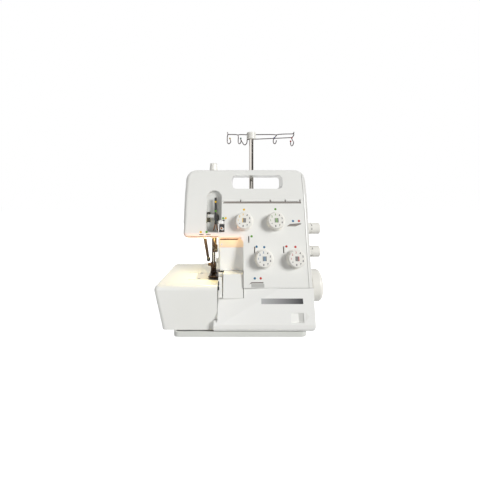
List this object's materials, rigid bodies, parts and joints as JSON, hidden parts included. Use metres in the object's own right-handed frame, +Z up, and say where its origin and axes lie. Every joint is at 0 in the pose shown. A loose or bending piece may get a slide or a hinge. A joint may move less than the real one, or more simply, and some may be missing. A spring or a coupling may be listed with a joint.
{
  "type": "overlock sewing machine",
  "caption": "White domestic overlock machine with swing-out cloth plate, drop-down looper cover, tension dials, handwheel, sewing lamp and telescopic thread guide.",
  "frame": {"origin": "on the floor under the middle of the outer box", "axes": "+X to the operator's right, +Y to the back, +Z up"},
  "size_m": [0.31, 0.262, 0.3995],
  "materials": {
    "body_white": "satin off-white moulded plastic",
    "cover_white": "slightly whiter satin plastic",
    "base_grey": "pale grey moulded plastic",
    "foot_rubber": "matt black rubber",
    "cast_alloy": "as-cast grey alloy",
    "bright_steel": "machined bright steel",
    "tube_chrome": "bright chromed tube",
    "bush_bronze": "sintered bronze",
    "lens_clear": "frosted clear plastic window",
    "lamp_glass": "warm frosted bulb",
    "black_plastic": "matt black plastic",
    "belt_rubber": "black drive belt",
    "knob_white": "warm white moulded knob"
  },
  "bodies": {
    "housing": {"base_plate": "base_grey", "rubber_feet": "foot_rubber", "frame": "cast_alloy", "front_cover": "body_white", "rear_cover": "body_white", "belt_cover": "body_white", "column_panel": "body_white", "lamp_window": "lens_clear", "lamp_bulb": "lamp_glass", "lamp_socket": "black_plastic", "chip_guard": "body_white", "thread_bracket": "bright_steel", "needle_plate": "bright_steel", "bed_cover": "body_white", "lower_knife": "bright_steel", "shaft_bushes": "bush_bronze", "motor": "cast_alloy", "drive_belt": "belt_rubber", "tension_bracket": "bright_steel", "tension_discs": "bright_steel", "power_inlet": "black_plastic", "cover_hinge_brackets": "bright_steel", "cloth_plate_post": "bright_steel", "spool_stand": "base_grey", "spool_pins": "knob_white", "cone_holders": "knob_white", "lower_tube": "tube_chrome", "screws": "bright_steel", "presser_spring": "bright_steel"},
    "drive_wheel": {"main_shaft": "bright_steel", "handwheel": "knob_white", "main_pulley": "black_plastic"},
    "motor_rotor": {"motor_pulley": "black_plastic"},
    "arm_rocker": {"arm_shaft": "bright_steel"},
    "rod": {"connecting_rod": "bright_steel"},
    "needle_carrier": {"needle_bar": "bright_steel", "needle_clamp": "bright_steel", "needles": "bright_steel"},
    "take_up": {"take_up_lever": "black_plastic"},
    "moving_knife": {"upper_knife": "bright_steel"},
    "upper_looper_arm": {"upper_looper": "bright_steel"},
    "lower_looper_arm": {"lower_looper": "bright_steel"},
    "front_feed": {"front_feed_dog": "bright_steel"},
    "rear_feed": {"rear_feed_dog": "bright_steel"},
    "presser": {"presser_bar": "bright_steel"},
    "foot": {"presser_foot": "bright_steel"},
    "lifter": {"presser_lifter": "black_plastic"},
    "pressure_control": {"pressure_knob": "knob_white"},
    "stitch_length_control": {"stitch_length_knob": "knob_white"},
    "differential_control": {"differential_feed_knob": "knob_white"},
    "rocker_switch": {"power_switch": "black_plastic"},
    "cover_slider": {"hinge_bar": "bright_steel"},
    "looper_door": {"looper_cover": "cover_white"},
    "cloth_table": {"cloth_plate": "body_white"},
    "thread_mast": {"upper_tube": "tube_chrome", "thread_tree": "bright_steel"},
    "left_needle_tension": {"left_needle_dial": "knob_white"},
    "right_needle_tension": {"right_needle_dial": "knob_white"},
    "upper_looper_tension": {"upper_looper_dial": "knob_white"},
    "lower_looper_tension": {"lower_looper_dial": "knob_white"}
  },
  "joints": [
    {"name": "handwheel_turn", "type": "hinge", "parent": "housing", "child": "drive_wheel", "pos_m": [0.138, -0.0485, 0.068], "axis": [1, 0, 0], "continuous": true},
    {"name": "motor_spin", "type": "hinge", "parent": "housing", "child": "motor_rotor", "pos_m": [0.1105, 0.008, 0.042], "axis": [1, 0, 0], "continuous": true},
    {"name": "arm_rock", "type": "hinge", "parent": "housing", "child": "arm_rocker", "pos_m": [0.0045, 0, 0.206], "axis": [1, 0, 0], "range_deg": [0, 28]},
    {"name": "rod_swing", "type": "hinge", "parent": "arm_rocker", "child": "rod", "pos_m": [0.0425, -0.025, 0.206], "axis": [1, 0, 0], "range_deg": [-28.01, 0]},
    {"name": "needle_stroke", "type": "slide", "parent": "housing", "child": "needle_carrier", "axis": [0, 0, -1], "range_m": [0, 0.02668]},
    {"name": "take_up_swing", "type": "hinge", "parent": "housing", "child": "take_up", "pos_m": [-0.0675, -0.044, 0.207], "axis": [1, 0, 0], "range_deg": [0, 12.01]},
    {"name": "knife_chop", "type": "hinge", "parent": "housing", "child": "moving_knife", "pos_m": [-0.0425, -0.038, 0.062], "axis": [1, 0, 0], "range_deg": [0, 10.01]},
    {"name": "upper_looper_swing", "type": "hinge", "parent": "housing", "child": "upper_looper_arm", "pos_m": [-0.0085, -0.0605, 0.044], "axis": [0, 1, 0], "range_deg": [0, 14.01]},
    {"name": "lower_looper_swing", "type": "hinge", "parent": "housing", "child": "lower_looper_arm", "pos_m": [-0.0195, -0.05, 0.034], "axis": [0, 1, 0], "range_deg": [-12.01, 0]},
    {"name": "front_feed_stroke", "type": "slide", "parent": "housing", "child": "front_feed", "axis": [0, 1, 0], "range_m": [0, 0.0032]},
    {"name": "rear_feed_stroke", "type": "slide", "parent": "housing", "child": "rear_feed", "axis": [0, 1, 0], "range_m": [0, 0.0032]},
    {"name": "presser_lift", "type": "slide", "parent": "housing", "child": "presser", "axis": [0, 0, 1], "range_m": [0, 0.005], "deforming": ["presser_spring"]},
    {"name": "foot_tilt", "type": "hinge", "parent": "presser", "child": "foot", "pos_m": [-0.0575, -0.0395, 0.097], "axis": [1, 0, 0], "range_deg": [-10, 0]},
    {"name": "lifter_turn", "type": "hinge", "parent": "housing", "child": "lifter", "pos_m": [-0.0775, -0.046, 0.178], "axis": [0, 1, 0], "range_deg": [0, 45.01]},
    {"name": "pressure_turn", "type": "hinge", "parent": "housing", "child": "pressure_control", "pos_m": [-0.0575, -0.0395, 0.297], "axis": [0, 0, 1], "range_deg": [-180, 180]},
    {"name": "stitch_length_turn", "type": "hinge", "parent": "housing", "child": "stitch_length_control", "pos_m": [0.124, -0.0685, 0.183], "axis": [1, 0, 0], "range_deg": [-135, 135]},
    {"name": "differential_turn", "type": "hinge", "parent": "housing", "child": "differential_control", "pos_m": [0.124, -0.0685, 0.139], "axis": [1, 0, 0], "range_deg": [-135, 135]},
    {"name": "switch_rock", "type": "hinge", "parent": "housing", "child": "rocker_switch", "pos_m": [0.12, 0.034, 0.068], "axis": [0, 1, 0], "range_deg": [0, 14]},
    {"name": "cover_slide", "type": "slide", "parent": "housing", "child": "cover_slider", "axis": [1, 0, 0], "range_m": [0, 0.008], "stiffness_N_per_m": 400},
    {"name": "looper_cover_drop", "type": "hinge", "parent": "cover_slider", "child": "looper_door", "pos_m": [0.0045, -0.123, 0.0216], "axis": [1, 0, 0], "range_deg": [0, 88]},
    {"name": "cloth_plate_swing", "type": "hinge", "parent": "housing", "child": "cloth_table", "pos_m": [-0.113, 0.047, 0.013], "axis": [0, 0, -1], "range_deg": [0, 90]},
    {"name": "mast_height", "type": "slide", "parent": "housing", "child": "thread_mast", "axis": [0, 0, 1], "range_m": [-0.11, 0]},
    {"name": "left_needle_tension_turn", "type": "hinge", "parent": "housing", "child": "left_needle_tension", "pos_m": [0.0032, -0.08693, 0.19739], "axis": [0, -0.9681, 0.2504], "range_deg": [-150, 150]},
    {"name": "right_needle_tension_turn", "type": "hinge", "parent": "housing", "child": "right_needle_tension", "pos_m": [0.0615, -0.08693, 0.19739], "axis": [0, -0.9681, 0.2504], "range_deg": [-150, 150]},
    {"name": "upper_looper_tension_turn", "type": "hinge", "parent": "housing", "child": "upper_looper_tension", "pos_m": [0.0385, -0.10379, 0.13219], "axis": [0, -0.9681, 0.2504], "range_deg": [-150, 150]},
    {"name": "lower_looper_tension_turn", "type": "hinge", "parent": "housing", "child": "lower_looper_tension", "pos_m": [0.0952, -0.10379, 0.13219], "axis": [0, -0.9681, 0.2504], "range_deg": [-150, 150]}
  ],
  "couplings": [
    {"joint": "motor_spin", "follows": "handwheel_turn", "ratio": 3.1111},
    {"joint": "rod_swing", "follows": "arm_rock", "ratio": -1},
    {"joint": "needle_stroke", "follows": "arm_rock", "m_per_rad": 0.054591},
    {"joint": "take_up_swing", "follows": "arm_rock", "ratio": 0.42857},
    {"joint": "knife_chop", "follows": "arm_rock", "ratio": 0.35714},
    {"joint": "upper_looper_swing", "follows": "arm_rock", "ratio": 0.5},
    {"joint": "lower_looper_swing", "follows": "arm_rock", "ratio": -0.42857},
    {"joint": "front_feed_stroke", "follows": "arm_rock", "m_per_rad": 0.0065481},
    {"joint": "rear_feed_stroke", "follows": "arm_rock", "m_per_rad": 0.0065481},
    {"joint": "lifter_turn", "follows": "presser_lift", "rad_per_m": 157.08}
  ]
}
